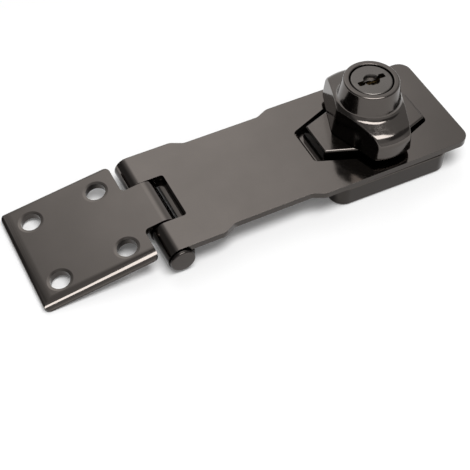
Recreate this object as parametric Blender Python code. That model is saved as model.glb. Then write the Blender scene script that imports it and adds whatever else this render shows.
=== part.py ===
"""Keyed hasp lock: a turn knob with a wafer lock on a cast base, and a hinged hasp plate under it.

The hasp's length runs along X with its hinge at minus X, its width along Y, and Z is up.
The pieces are drawn round the knob's axis and moved at the end, so that the origin lies
in the middle of the lock's length, on the surface that the lock stands on.
Each piece is built where it sits at rest: knob across the hasp, bolt drawn back, wafers level.
"""
import math

import bmesh
import bpy
from mathutils import Matrix, Vector

MM = 0.001

# Clearances
GAP = 0.3 * MM                   # between neighbouring pieces
CUT = 0.5 * MM                   # how far a cutting shape runs past the face it opens
ROUND_STEPS = 56                 # facets round the knob and the base's bore
INNER_STEPS = 48                 # facets round a turned piece inside the lock
RING_STEPS = 36                  # facets round an open ring
HEAD_STEPS = 32                  # facets round the hinge pin
SMALL_STEPS = 24                 # facets round a hole
CRANK_STEPS = 12                 # facets round the crank pin
ROLL_STEPS = 21                  # facets along a rolled sheet
CORNER_STEPS = 5                 # facets round an outline's corner

# Hasp plate
SHEET = 1.8 * MM
LOCK_WIDTH = 34.0 * MM
WAIST_WIDTH = 30.8 * MM
KNUCKLE_WIDTH = 34.2 * MM
PLATE_END = 23.05 * MM           # knob's axis to the free end
HINGE_DISTANCE = 62.4 * MM       # knob's axis to the hinge's axis
END_CORNER = 3.5 * MM
LOCK_STEP = 21.2 * MM            # knob's axis to the end of the wide lock part
HINGE_STEP = 12.4 * MM           # hinge's axis to the end of the wide hinge part
STEP_LENGTH = 3.4 * MM
STEP_CORNER = 3.0 * MM
WINDOW_SHIFT = -1.3 * MM         # window's centre from the knob's axis
WINDOW_CLEARANCE = 1.4 * MM      # window's ends and middle to the foot of the boss
WINDOW_END_CLEARANCE = 0.8 * MM  # window's end corners past those of the boss's top, across the hasp
WINDOW_CORNER = 1.5 * MM

# Hinge
PIN_RADIUS = 1.5 * MM
PIN_HEAD_RADIUS = 3.3 * MM
PIN_HEAD = 1.0 * MM
PIN_HEAD_EDGE = 0.25 * MM
PEEN_RADIUS = 2.5 * MM
PEEN = 0.8 * MM
PEEN_STEPS = 4                   # facets from the peened dome's rim to its top
TONGUE_WIDTH = 14.2 * MM
TONGUE_CLEARANCE = 0.4 * MM      # tongue's side to the knuckles
SLOT_REACH = 6.05 * MM           # hinge's axis to the slot's edge in the plate
FLAP_RISE = math.radians(70)     # slope of the rolled sheet as it comes back up to the plate
FLAP_BEND = 1.0 * MM
FLAP_LENGTH = 3.2 * MM
FLOOR_CLEARANCE = 0.02 * MM      # under the knuckles

# Hinge leaf
LEAF_SHEET = 1.9 * MM
LEAF_WIDTH = 33.0 * MM
LEAF_START = 5.1 * MM            # hinge's axis to the leaf's near edge
LEAF_END = 35.65 * MM            # hinge's axis to the leaf's far edge
LEAF_SHIFT = 0.6 * MM            # leaf's middle from the tongue's middle
LEAF_CORNER = 3.0 * MM
LEAF_ROLL_CLEARANCE = 0.5 * MM   # pin to the inside of the tongue's roll
LEAF_ROLL_SWEEP = math.radians(285)
TONGUE_FILLET = 1.2 * MM
LEAF_HOLE_INSET = 5.9 * MM       # hole's centre to the leaf's near edge
LEAF_HOLE_END = 6.5 * MM         # hole's centre to the leaf's far edge
LEAF_HOLE_SPACING = 20.6 * MM

# Screw holes
SCREW_RADIUS = 2.2 * MM
LEAF_SINK_RADIUS = 2.9 * MM
BASE_SINK_RADIUS = 4.1 * MM

# Base
BASE_LENGTH = 35.0 * MM
BASE_WIDTH = 33.4 * MM
BASE_HEIGHT = 6.25 * MM
BASE_CORNER = 4.0 * MM
BASE_WALL = 2.0 * MM
BASE_EDGE = 0.6 * MM
SCREW_INSET = 4.7 * MM           # screw's axis to the base's outer walls
SCREW_PAD = 9.0 * MM             # solid corner round a screw, from the outer walls
PAD_CORNER = 2.5 * MM
BOSS_LENGTH = 30.7 * MM
BOSS_WIDTH = 21.1 * MM
BOSS_END_WIDTH = 10.1 * MM
BOSS_HEIGHT = 3.8 * MM           # above the base's top
BOSS_FLARE = 0.6 * MM            # foot wider than the top, all round
BOSS_EDGE = 0.5 * MM

# Knob
KNOB_RADIUS = 15.2 * MM
KNOB_INSET = 0.1 * MM            # knob's flanks inside the outline of the boss
KNOB_DRAFT = math.radians(5.5)
FLANK_SPARE = 2.0 * MM           # how far the flanks' outline runs past the knob's ends
KNOB_ROUND = 3.4 * MM            # between the wing's end and the shoulder
KNOB_EDGE = 0.3 * MM
SHOULDER_SLOPE = math.radians(16)
CONE_FOOT_RADIUS = 8.5 * MM
CONE_FOOT_HEIGHT = 8.2 * MM
CONE_FILLET = 0.7 * MM
RING_RADIUS = 7.37 * MM
RING_HEIGHT = 14.85 * MM
RING_CHAMFER = 0.3 * MM
SPINDLE_RADIUS = 7.0 * MM
SPINDLE_WALL = 1.6 * MM
SPINDLE_END = 1.2 * MM           # height of the spindle's lower end above the ground
TURN_STOP_RADIUS = 8.1 * MM
TURN_STOP_SIZE = 1.2 * MM
TURN_STOP_HEIGHT = 1.0 * MM
KNOB_TURN = math.radians(90)

# Lock plug and wafers
PLUG_RADIUS = 5.6 * MM
PLUG_SUNK = 0.15 * MM            # plug's face below the knob's ring
PLUG_CHAMFER = 0.35 * MM
KEYWAY_LENGTH = 7.9 * MM
KEYWAY_WIDTH = 1.7 * MM
KEYWAY_FLOOR = 0.6 * MM
KEY_RECESS_RADIUS = 2.1 * MM
KEY_RECESS = 0.6 * MM
WAFERS = 5
WAFER_THICKNESS = 1.0 * MM
WAFER_WIDTH = 4.8 * MM
WAFER_PITCH = 2.3 * MM
WAFER_FIRST = 2.2 * MM           # plug's face to the middle of the first wafer
WAFER_TRAVEL = 0.8 * MM
WAFER_WINDOW_LENGTH = 8.0 * MM
WAFER_WINDOW_WIDTH = 2.4 * MM
WAFER_CODE_STEP = 0.15 * MM
WAFER_CODES = (1, -2, 2, 0, -1)  # steps by which each wafer's window is off centre
EAR_LENGTH = 0.9 * MM
EAR_SHIFT = -0.25 * MM           # ear's middle from the plug's axis
EAR_HEIGHT = 1.5 * MM
SPRING_LENGTH = 2.2 * MM
SPRING_RADIUS = 0.46 * MM
SPRING_WIRE = 0.12 * MM
SPRING_TURNS = 4
SPRING_STEPS = 8                 # facets in one turn of a spring
PLUG_END = 0.55 * MM             # last wafer's slot to the plug's lower face
TAIL_RADIUS = 2.6 * MM
WEB = 1.1 * MM                   # knob's floor under the plug
CLIP_THICKNESS = 0.6 * MM
CLIP_REACH = 1.8 * MM            # clip's outer edge past the tail
GROOVE_DEPTH = 0.6 * MM
TAIL_COLLAR = 0.6 * MM
CLIP_OPENING = math.radians(60)
PLUG_TURN = math.radians(90)

# Bolt and its crank pin
CRANK_RADIUS = 1.5 * MM
CRANK_PIN_RADIUS = 0.75 * MM
BOLT_THICKNESS = 2.0 * MM
BOLT_NOSE_WIDTH = 3.4 * MM
BOLT_BODY_WIDTH = 6.4 * MM
BOLT_TAIL = 3.1 * MM
BOLT_SHOULDER = 1.1 * MM
BOLT_CORNER = 0.5 * MM
BOLT_SET_BACK = 0.2 * MM         # drawn bolt's nose inside the spindle's surface
CAP_THICKNESS = 1.2 * MM

# Retaining ring and wave washer
RING_CLIP_THICKNESS = 0.8 * MM
RING_CLIP_RADIUS = 8.6 * MM
RING_GROOVE_DEPTH = 0.8 * MM
WASHER_THICKNESS = 0.35 * MM
WASHER_WAVE = 0.15 * MM
WASHER_RADIUS = 9.0 * MM
WASHER_WAVES = 3

# Heights and places that follow from the sizes above
BOSS_TOP = BASE_HEIGHT + BOSS_HEIGHT
KNOB_BOTTOM = BOSS_TOP + GAP
RING_TOP = KNOB_BOTTOM + RING_HEIGHT
PLUG_TOP = RING_TOP - PLUG_SUNK
BORE_RADIUS = PLUG_RADIUS + GAP
WAFER_SLOT = WAFER_THICKNESS + 2 * GAP
WAFER_HEIGHTS = [PLUG_TOP - WAFER_FIRST - i * WAFER_PITCH for i in range(WAFERS)]
WAFER_RADIUS = PLUG_RADIUS - GAP / 2
PLUG_BOTTOM = WAFER_HEIGHTS[-1] - WAFER_SLOT / 2 - PLUG_END
WEB_TOP = PLUG_BOTTOM - GAP
WEB_BOTTOM = WEB_TOP - WEB
CLIP_TOP = WEB_BOTTOM - GAP
TAIL_GROOVE_BOTTOM = CLIP_TOP - CLIP_THICKNESS - GAP
TAIL_BOTTOM = TAIL_GROOVE_BOTTOM - TAIL_COLLAR
BOLT_TOP = TAIL_BOTTOM - GAP
BOLT_BOTTOM = BOLT_TOP - BOLT_THICKNESS
CAP_TOP = BOLT_BOTTOM - GAP
CAVITY_RADIUS = SPINDLE_RADIUS - SPINDLE_WALL
BOLT_ROOM_RADIUS = CAVITY_RADIUS - 2 * GAP
BOLT_TRAVEL = 2 * CRANK_RADIUS * math.sin(PLUG_TURN / 2)
BOLT_NOSE = SPINDLE_RADIUS - BOLT_SET_BACK
SPINDLE_BORE = SPINDLE_RADIUS + GAP
TOP_WALL_UNDER = BASE_HEIGHT - BASE_WALL
WASHER_TOP = TOP_WALL_UNDER - GAP
RING_CLIP_TOP = WASHER_TOP - WASHER_THICKNESS - 2 * WASHER_WAVE - GAP
HINGE_RADIUS = PIN_RADIUS + GAP + SHEET
LEAF_ROLL_RADIUS = PIN_RADIUS + LEAF_ROLL_CLEARANCE + LEAF_SHEET
HINGE_AXIS = Vector((-HINGE_DISTANCE, 0, max(HINGE_RADIUS, LEAF_ROLL_RADIUS) + FLOOR_CLEARANCE))
KNOB_PLACE = Vector(((HINGE_DISTANCE + LEAF_END - PLATE_END) / 2, 0, 0))


def finish(name, colour, roughness, metallic=1.0):
    """Make a plain metal material."""
    made = bpy.data.materials.new(name)
    made.use_nodes = True
    shader = made.node_tree.nodes["Principled BSDF"]
    shader.inputs["Base Color"].default_value = (*colour, 1.0)
    shader.inputs["Roughness"].default_value = roughness
    shader.inputs["Metallic"].default_value = metallic
    return made


def place(name, bm, material=None, location=(0, 0, 0), turn=None):
    """Turn a bmesh into a named object, with its normals made consistent."""
    bmesh.ops.remove_doubles(bm, verts=bm.verts, dist=1e-7)
    bmesh.ops.recalc_face_normals(bm, faces=bm.faces)
    mesh = bpy.data.meshes.new(name)
    bm.to_mesh(mesh)
    bm.free()
    made = bpy.data.objects.new(name, mesh)
    bpy.context.scene.collection.objects.link(made)
    made.location = location
    if turn is not None:
        made.rotation_euler = turn
    if material is not None:
        mesh.materials.append(material)
    return made


def smooth(made, angle=math.radians(32)):
    """Shade the round faces smooth and keep the edges sharp."""
    made.data.shade_smooth()
    made.data.set_sharp_from_angle(angle=angle)
    return made


def rounded(corners):
    """Outline through corners (x, y, radius), each corner with a radius turned by an arc."""
    outline = []
    count = len(corners)
    for i, (x, y, radius) in enumerate(corners):
        here = Vector((x, y))
        before = Vector(corners[i - 1][:2]) - here
        after = Vector(corners[(i + 1) % count][:2]) - here
        opening = before.angle(after)
        if radius <= 0 or math.pi - opening < 1e-4:
            outline.append(here)
            continue
        reach = radius / math.tan(opening / 2)
        reach = min(reach, 0.49 * before.length, 0.49 * after.length)
        radius = reach * math.tan(opening / 2)
        middle = (before.normalized() + after.normalized()).normalized()
        centre = here + middle * (radius / math.sin(opening / 2))
        start = here + before.normalized() * reach - centre
        end = here + after.normalized() * reach - centre
        sweep = start.angle_signed(end)
        for step in range(CORNER_STEPS + 1):
            outline.append(centre + Matrix.Rotation(-sweep * step / CORNER_STEPS, 2) @ start)
    return outline


def offset(corners, distance):
    """Move the sides of a convex outline (x, y), listed counter-clockwise, outwards."""
    moved = []
    count = len(corners)
    for i in range(count):
        here = Vector(corners[i])
        inward = (here - Vector(corners[i - 1])).normalized()
        outward = (Vector(corners[(i + 1) % count]) - here).normalized()
        first = Vector((inward.y, -inward.x))
        second = Vector((outward.y, -outward.x))
        middle = (first + second).normalized()
        moved.append(here + middle * (distance / middle.dot(first)))
    return moved


def mirrored_hexagon(half_length, end_half_width, half_width):
    """Corners of a hexagon that is long in X, counter-clockwise from its lower right."""
    return [(half_length, -end_half_width), (half_length, end_half_width), (0, half_width),
            (-half_length, end_half_width), (-half_length, -end_half_width), (0, -half_width)]


def stack(levels):
    """Solid through outlines (points, height) that have the same number of points."""
    bm = bmesh.new()
    rings = [[bm.verts.new((p[0], p[1], height)) for p in outline] for outline, height in levels]
    bm.faces.new(list(reversed(rings[0])))
    bm.faces.new(rings[-1])
    for lower, upper in zip(rings, rings[1:]):
        for i, vert in enumerate(lower):
            j = (i + 1) % len(lower)
            bm.faces.new((vert, lower[j], upper[j], upper[i]))
    return bm


def prism(outline, low, high):
    """Solid of one outline between two heights."""
    return stack([(outline, low), (outline, high)])


def bar(profile, start, end):
    """Solid of a profile (x, z) that runs along Y."""
    bm = bmesh.new()
    near = [bm.verts.new((p[0], start, p[1])) for p in profile]
    bm.faces.new(near)
    swept = bmesh.ops.extrude_face_region(bm, geom=bm.faces[:])
    moved = [v for v in swept["geom"] if isinstance(v, bmesh.types.BMVert)]
    bmesh.ops.translate(bm, verts=moved, vec=(0, end - start, 0))
    return bm


def block(low, high):
    """Box between two corners."""
    bm = bmesh.new()
    size = Vector(high) - Vector(low)
    middle = (Vector(high) + Vector(low)) / 2
    bmesh.ops.create_cube(bm, size=1.0, matrix=Matrix.Translation(middle) @ Matrix.Diagonal((*size, 1)))
    return bm


def turned(profile, steps=ROUND_STEPS, centre=(0, 0)):
    """Solid of revolution of a profile (radius, height) about a vertical axis."""
    bm = bmesh.new()
    verts = [bm.verts.new((centre[0] + radius, centre[1], height)) for radius, height in profile]
    on_axis = profile[0][0] == 0 and profile[-1][0] == 0
    edges = [bm.edges.new((verts[i], verts[i + 1])) for i in range(len(verts) - 1)]
    if not on_axis:
        edges.append(bm.edges.new((verts[-1], verts[0])))
    bmesh.ops.spin(bm, geom=verts + edges, cent=(*centre, 0), axis=(0, 0, 1), angle=2 * math.pi,
                   steps=steps, use_merge=True)
    return bm


def arc(centre, radius, start, end, steps):
    """Points on an arc, in the plane of the profile."""
    return [(centre[0] + radius * math.cos(start + (end - start) * i / steps),
             centre[1] + radius * math.sin(start + (end - start) * i / steps)) for i in range(steps + 1)]


def change(made, other_bm, operation):
    """Cut, join or keep the common part of a piece with a hidden shape, in the piece's own frame."""
    shape = place(f"{made.name}_shape", other_bm)
    shape.parent = made
    shape.hide_render = True
    shape.display_type = "WIRE"
    modifier = made.modifiers.new(operation.title(), "BOOLEAN")
    modifier.operation = operation
    modifier.solver = "EXACT"
    modifier.object = shape


def cut(made, other_bm):
    change(made, other_bm, "DIFFERENCE")


def join(made, other_bm):
    change(made, other_bm, "UNION")


def screw_hole(x, y, top, bottom, sink_radius):
    """Shape of a countersunk screw hole that opens at the top."""
    sink = sink_radius - SCREW_RADIUS
    profile = [(0, bottom - CUT), (SCREW_RADIUS, bottom - CUT), (SCREW_RADIUS, top - sink),
               (sink_radius, top), (sink_radius, top + CUT), (0, top + CUT)]
    return turned(profile, SMALL_STEPS, (x, y))


def rolled_sheet(middle, thickness):
    """Closed profile of a bent sheet, from the points of its middle line."""
    left, right = [], []
    for i, point in enumerate(middle):
        before = Vector(middle[max(i - 1, 0)])
        after = Vector(middle[min(i + 1, len(middle) - 1)])
        along = (after - before).normalized()
        side = Vector((-along.y, along.x)) * thickness / 2
        left.append(Vector(point) + side)
        right.append(Vector(point) - side)
    return left + right[::-1]


def open_ring(inner, outer, low, high):
    """Flat ring with an opening that faces plus X."""
    start, end = CLIP_OPENING / 2, 2 * math.pi - CLIP_OPENING / 2
    outline = arc((0, 0), outer, start, end, RING_STEPS) + arc((0, 0), inner, end, start, RING_STEPS)
    return prism(outline, low, high)


def boss_outline(grow):
    """Hexagonal outline of the boss's top, grown by a distance."""
    return offset(mirrored_hexagon(BOSS_LENGTH / 2, BOSS_END_WIDTH / 2, BOSS_WIDTH / 2), grow)


def with_radius(corners, radius):
    return [(p[0], p[1], radius) for p in corners]


def rectangle(half_length, half_width):
    return [(half_length, -half_width), (half_length, half_width),
            (-half_length, half_width), (-half_length, -half_width)]


def plate_tilt():
    """Slope of the hasp plate, from the knuckles on the ground up to the edge of the base."""
    reach = HINGE_DISTANCE - BASE_LENGTH / 2
    rise = BASE_HEIGHT - HINGE_AXIS.z
    under = HINGE_RADIUS - SHEET - GAP
    return math.atan2(rise, reach) - math.asin(under / math.hypot(reach, rise))


def leaf_tilt():
    """Slope of the leaf, whose far edge lies on the ground."""
    under = LEAF_ROLL_RADIUS - LEAF_SHEET
    return math.asin(HINGE_AXIS.z / math.hypot(LEAF_END, under)) + math.atan2(under, LEAF_END)


def make_base(metal):
    """Cast pan with screw posts, a hexagonal boss on top and a bore for the knob's spindle."""
    def pan_outline(inset):
        corners = rectangle(BASE_LENGTH / 2 - inset, BASE_WIDTH / 2 - inset)
        return rounded(with_radius(corners, BASE_CORNER - inset))

    def boss_ring(grow):
        return rounded(with_radius(boss_outline(grow), BOSS_EDGE))

    half_round = BASE_EDGE * (1 - math.cos(math.pi / 4))
    base = place("base", stack([(pan_outline(0), 0), (pan_outline(0), BASE_HEIGHT - BASE_EDGE),
                                (pan_outline(half_round), BASE_HEIGHT - half_round),
                                (pan_outline(BASE_EDGE), BASE_HEIGHT)]), metal)
    boss = [(boss_ring(BOSS_FLARE), BASE_HEIGHT - BASE_WALL / 2), (boss_ring(BOSS_FLARE), BASE_HEIGHT),
            (boss_ring(0), BOSS_TOP - BOSS_EDGE), (boss_ring(-BOSS_EDGE), BOSS_TOP)]
    join(base, stack(boss))
    cut(base, prism(hollow_outline(), -CUT, TOP_WALL_UNDER))
    for side in (-1, 1):
        for end in (-1, 1):
            x = end * (BASE_LENGTH / 2 - SCREW_INSET)
            y = side * (BASE_WIDTH / 2 - SCREW_INSET)
            cut(base, screw_hole(x, y, BASE_HEIGHT, 0, BASE_SINK_RADIUS))
    bore = [(0, -CUT), (SPINDLE_BORE, -CUT), (SPINDLE_BORE, BOSS_TOP + CUT), (0, BOSS_TOP + CUT)]
    cut(base, turned(bore))
    reach = BOLT_NOSE + BOLT_TRAVEL + GAP
    half = BOLT_NOSE_WIDTH / 2 + GAP
    low, high = BOLT_BOTTOM - GAP, BOLT_TOP + GAP
    cut(base, block((SPINDLE_RADIUS / 2, -half, low), (reach, half, high)))
    cut(base, block((-half, SPINDLE_RADIUS / 2, low), (half, reach, high)))
    cut(base, stop_track())
    return base


def hollow_outline():
    """Cross-shaped outline of the pan's hollow, which leaves a solid pad in each corner."""
    x, y = BASE_LENGTH / 2 - BASE_WALL, BASE_WIDTH / 2 - BASE_WALL
    pad_x, pad_y = BASE_LENGTH / 2 - SCREW_PAD, BASE_WIDTH / 2 - SCREW_PAD
    quarter = [(x, pad_y), (pad_x, pad_y), (pad_x, y)]
    corners = quarter + [(-p, q) for p, q in reversed(quarter)]
    corners += [(-p, -q) for p, q in quarter] + [(p, -q) for p, q in reversed(quarter)]
    return rounded(with_radius(corners, PAD_CORNER))


def stop_track():
    """Groove in the boss that lets the knob's stop run through a quarter turn."""
    side = TURN_STOP_SIZE / 2 + GAP
    spare = math.asin(side / (TURN_STOP_RADIUS - TURN_STOP_SIZE / 2))
    start, end = math.pi - spare, math.pi + KNOB_TURN + spare
    outline = arc((0, 0), TURN_STOP_RADIUS + side, start, end, ROUND_STEPS // 4)
    outline += arc((0, 0), SPINDLE_RADIUS, end, start, ROUND_STEPS // 4)
    return prism(outline, BOSS_TOP - TURN_STOP_HEIGHT - GAP, BOSS_TOP + CUT)


def make_hasp_plate(metal):
    """Sheet with softened steps, a window for the boss, two knuckles and a flap under the slot."""
    tilt = plate_tilt()
    knob_at = HINGE_DISTANCE / math.cos(tilt)
    end = knob_at + PLATE_END
    radius = HINGE_RADIUS - SHEET / 2
    turn_end = -math.pi / 2 + FLAP_RISE
    flap_height = radius - SHEET - GAP
    bend_rise = FLAP_BEND * (1 - math.cos(FLAP_RISE))
    climb = flap_height - radius * math.sin(turn_end) - bend_rise
    bend_start = (radius * math.cos(turn_end) + climb / math.tan(FLAP_RISE), flap_height - bend_rise)
    bend_centre = (bend_start[0] + FLAP_BEND * math.sin(FLAP_RISE), flap_height - FLAP_BEND)
    middle = [(end, radius)] + arc((0, 0), radius, math.pi / 2, 2 * math.pi + turn_end, ROLL_STEPS)
    middle += arc(bend_centre, FLAP_BEND, math.pi / 2 + FLAP_RISE, math.pi / 2, CORNER_STEPS)
    middle.append((bend_centre[0] + FLAP_LENGTH, flap_height))
    plate = place("hasp_plate", bar(rolled_sheet(middle, SHEET), -LOCK_WIDTH, LOCK_WIDTH), metal,
                  HINGE_AXIS, (0, -tilt, 0))
    lock, waist, knuckle = LOCK_WIDTH / 2, WAIST_WIDTH / 2, KNUCKLE_WIDTH / 2
    lock_x = knob_at - LOCK_STEP
    back = -2 * HINGE_RADIUS
    side = [(end, lock, END_CORNER), (lock_x, lock, STEP_CORNER),
            (lock_x - STEP_LENGTH, waist, STEP_CORNER), (HINGE_STEP + STEP_LENGTH, waist, STEP_CORNER),
            (HINGE_STEP, knuckle, STEP_CORNER), (back, knuckle, 0)]
    outline = rounded(side + [(x, -y, r) for x, y, r in reversed(side)])
    change(plate, prism(outline, -2 * HINGE_RADIUS, 2 * HINGE_RADIUS), "INTERSECT")
    room = BOSS_FLARE + WINDOW_CLEARANCE
    window = mirrored_hexagon(BOSS_LENGTH / 2 + room, BOSS_END_WIDTH / 2 + WINDOW_END_CLEARANCE,
                              BOSS_WIDTH / 2 + room)
    corners = [(knob_at + WINDOW_SHIFT + x, y, WINDOW_CORNER) for x, y in window]
    cut(plate, prism(rounded(corners), flap_height, 2 * HINGE_RADIUS))
    half = TONGUE_WIDTH / 2 + TONGUE_CLEARANCE
    tongue_room = LEAF_ROLL_RADIUS + TONGUE_CLEARANCE
    cut(plate, block((back - CUT, -half, back), (tongue_room, half, -back)))
    flap_top = flap_height + SHEET / 2 + GAP / 2
    cut(plate, block((tongue_room - CUT, -half, flap_top), (SLOT_REACH, half, -back)))
    return plate


def make_hinge_leaf(metal):
    """Sheet with four screw holes and a tongue rolled over the pin."""
    tilt = leaf_tilt()
    radius = LEAF_ROLL_RADIUS - LEAF_SHEET / 2
    middle = [(-LEAF_END, radius)]
    middle += arc((0, 0), radius, math.pi / 2, math.pi / 2 - LEAF_ROLL_SWEEP, ROLL_STEPS)
    leaf = place("hinge_leaf", bar(rolled_sheet(middle, LEAF_SHEET), -LEAF_WIDTH, LEAF_WIDTH), metal,
                 HINGE_AXIS, (0, -tilt, 0))
    tongue = TONGUE_WIDTH / 2
    front = 2 * LEAF_ROLL_RADIUS
    far_side, near_side = LEAF_SHIFT + LEAF_WIDTH / 2, LEAF_SHIFT - LEAF_WIDTH / 2
    outline = rounded([
        (-LEAF_END, far_side, LEAF_CORNER), (-LEAF_START, far_side, LEAF_CORNER),
        (-LEAF_START, tongue, TONGUE_FILLET), (front, tongue, 0),
        (front, -tongue, 0), (-LEAF_START, -tongue, TONGUE_FILLET),
        (-LEAF_START, near_side, LEAF_CORNER), (-LEAF_END, near_side, LEAF_CORNER)])
    change(leaf, prism(outline, -front, front), "INTERSECT")
    for x in (-LEAF_START - LEAF_HOLE_INSET, -LEAF_END + LEAF_HOLE_END):
        for side in (-1, 1):
            y = LEAF_SHIFT + side * LEAF_HOLE_SPACING / 2
            under = LEAF_ROLL_RADIUS - LEAF_SHEET
            cut(leaf, screw_hole(x, y, LEAF_ROLL_RADIUS, under, LEAF_SINK_RADIUS))
    return leaf


def make_hinge_pin(metal):
    """Pin with a flat head at the near side and a peened end at the far side."""
    seat = KNUCKLE_WIDTH / 2 + GAP
    head = seat + PIN_HEAD
    profile = [(radius, -seat + height * PEEN / PEEN_RADIUS)
               for radius, height in arc((0, 0), PEEN_RADIUS, -math.pi / 2, 0, PEEN_STEPS)]
    profile[0] = (0, -seat - PEEN)
    profile += [(PIN_RADIUS, -seat), (PIN_RADIUS, seat), (PIN_HEAD_RADIUS, seat),
                (PIN_HEAD_RADIUS, head - PIN_HEAD_EDGE), (PIN_HEAD_RADIUS - PIN_HEAD_EDGE, head), (0, head)]
    return place("hinge_pin", turned(profile, HEAD_STEPS), metal, HINGE_AXIS, (math.pi / 2, 0, 0))


def flank_outline(grow):
    """Knob's four flanks: the outline of the boss a quarter turn on, run out past the knob's ends."""
    slope = (BOSS_WIDTH - BOSS_END_WIDTH) / BOSS_LENGTH
    reach = KNOB_RADIUS + FLANK_SPARE
    corners = offset(mirrored_hexagon(reach, BOSS_WIDTH / 2 - slope * reach, BOSS_WIDTH / 2), grow)
    return [(-p[1], p[0]) for p in corners]


def make_knob(metal):
    """Turned knob with a cone for the lock, cut by drafted flanks into two wings."""
    foot = KNOB_BOTTOM + CONE_FOOT_HEIGHT
    corner = foot - (KNOB_RADIUS - CONE_FOOT_RADIUS) * math.tan(SHOULDER_SLOPE)
    groove_top = RING_CLIP_TOP + GAP
    groove_low = RING_CLIP_TOP - RING_CLIP_THICKNESS - GAP
    groove_radius = SPINDLE_RADIUS - RING_GROOVE_DEPTH
    tail_hole = TAIL_RADIUS + GAP
    cap_seat = CAP_TOP + GAP
    profile = rounded([
        (CAVITY_RADIUS, SPINDLE_END, 0), (SPINDLE_RADIUS, SPINDLE_END, KNOB_EDGE),
        (SPINDLE_RADIUS, groove_low, 0), (groove_radius, groove_low, 0),
        (groove_radius, groove_top, 0), (SPINDLE_RADIUS, groove_top, 0),
        (SPINDLE_RADIUS, KNOB_BOTTOM, 0), (KNOB_RADIUS, KNOB_BOTTOM, KNOB_EDGE),
        (KNOB_RADIUS, corner, KNOB_ROUND), (CONE_FOOT_RADIUS, foot, CONE_FILLET),
        (RING_RADIUS, RING_TOP, RING_CHAMFER), (BORE_RADIUS, RING_TOP, KNOB_EDGE / 2),
        (BORE_RADIUS, WEB_TOP, 0), (tail_hole, WEB_TOP, 0),
        (tail_hole, WEB_BOTTOM, 0), (BOLT_ROOM_RADIUS, WEB_BOTTOM, 0),
        (BOLT_ROOM_RADIUS, cap_seat, 0), (CAVITY_RADIUS, cap_seat, 0)])
    knob = place("knob", turned(profile), metal)
    low, high = SPINDLE_END - CUT, RING_TOP + CUT
    draft = math.tan(KNOB_DRAFT)
    lower = flank_outline((KNOB_BOTTOM - low) * draft - KNOB_INSET)
    upper = flank_outline((KNOB_BOTTOM - high) * draft - KNOB_INSET)
    change(knob, stack([(lower, low), (upper, high)]), "INTERSECT")
    half = WAFER_WIDTH / 2 + GAP
    reach = WAFER_RADIUS + WAFER_TRAVEL + GAP
    bottom = WAFER_HEIGHTS[-1] - WAFER_SLOT / 2
    top = WAFER_HEIGHTS[0] + WAFER_SLOT / 2
    cut(knob, block((-reach, -half, bottom), (0, half, top)))
    cut(knob, block((-half, -reach, bottom), (half, 0, top)))
    side = BOLT_NOSE_WIDTH / 2 + GAP
    low, high = BOLT_BOTTOM - GAP, BOLT_TOP + GAP
    cut(knob, block((BOLT_ROOM_RADIUS / 2, -side, low), (SPINDLE_BORE, side, high)))
    stop = TURN_STOP_SIZE / 2
    join(knob, block((-TURN_STOP_RADIUS - stop, -stop, BOSS_TOP - TURN_STOP_HEIGHT),
                     (-TURN_STOP_RADIUS + stop, stop, KNOB_BOTTOM + CUT)))
    return knob


def crank_at_rest():
    """Middle of the crank pin, half of the plug's turn short of pointing away from the bolt's nose."""
    half = PLUG_TURN / 2
    return -CRANK_RADIUS * math.sin(half), -CRANK_RADIUS * math.cos(half)


def make_plug(metal):
    """Lock plug with its keyway, wafer slots, spring pockets, clip groove and crank pin."""
    groove = TAIL_RADIUS - GROOVE_DEPTH
    profile = rounded([
        (0, TAIL_BOTTOM, 0), (TAIL_RADIUS, TAIL_BOTTOM, 0), (TAIL_RADIUS, TAIL_GROOVE_BOTTOM, 0),
        (groove, TAIL_GROOVE_BOTTOM, 0), (groove, WEB_BOTTOM, 0), (TAIL_RADIUS, WEB_BOTTOM, 0),
        (TAIL_RADIUS, PLUG_BOTTOM, 0), (PLUG_RADIUS, PLUG_BOTTOM, 0),
        (PLUG_RADIUS, PLUG_TOP, PLUG_CHAMFER), (0, PLUG_TOP, 0)])
    plug = place("lock_plug", turned(profile, INNER_STEPS), metal)
    pin = [(0, BOLT_BOTTOM + GAP), (CRANK_PIN_RADIUS, BOLT_BOTTOM + GAP),
           (CRANK_PIN_RADIUS, TAIL_BOTTOM + TAIL_COLLAR / 2), (0, TAIL_BOTTOM + TAIL_COLLAR / 2)]
    join(plug, turned(pin, CRANK_STEPS, crank_at_rest()))
    half = WAFER_WIDTH / 2 + GAP
    pocket_low = EAR_SHIFT - EAR_LENGTH / 2 - WAFER_TRAVEL - GAP
    pocket_high = EAR_SHIFT + EAR_LENGTH / 2 + SPRING_LENGTH + 2 * GAP
    pocket_top = WAFER_WIDTH / 2 + EAR_HEIGHT + GAP
    for height in WAFER_HEIGHTS:
        low, high = height - WAFER_SLOT / 2, height + WAFER_SLOT / 2
        cut(plug, block((-2 * PLUG_RADIUS, -half, low), (2 * PLUG_RADIUS, half, high)))
        cut(plug, block((pocket_low, half - CUT, low), (pocket_high, pocket_top, high)))
    length, width = KEYWAY_LENGTH / 2, KEYWAY_WIDTH / 2
    floor, above = PLUG_BOTTOM + KEYWAY_FLOOR, PLUG_TOP + CUT
    cut(plug, block((-length, -width, floor), (length, width, above)))
    recess = [(0, PLUG_TOP - KEY_RECESS), (KEY_RECESS_RADIUS, PLUG_TOP - KEY_RECESS),
              (KEY_RECESS_RADIUS, above), (0, above)]
    cut(plug, turned(recess, SMALL_STEPS))
    return plug


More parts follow.
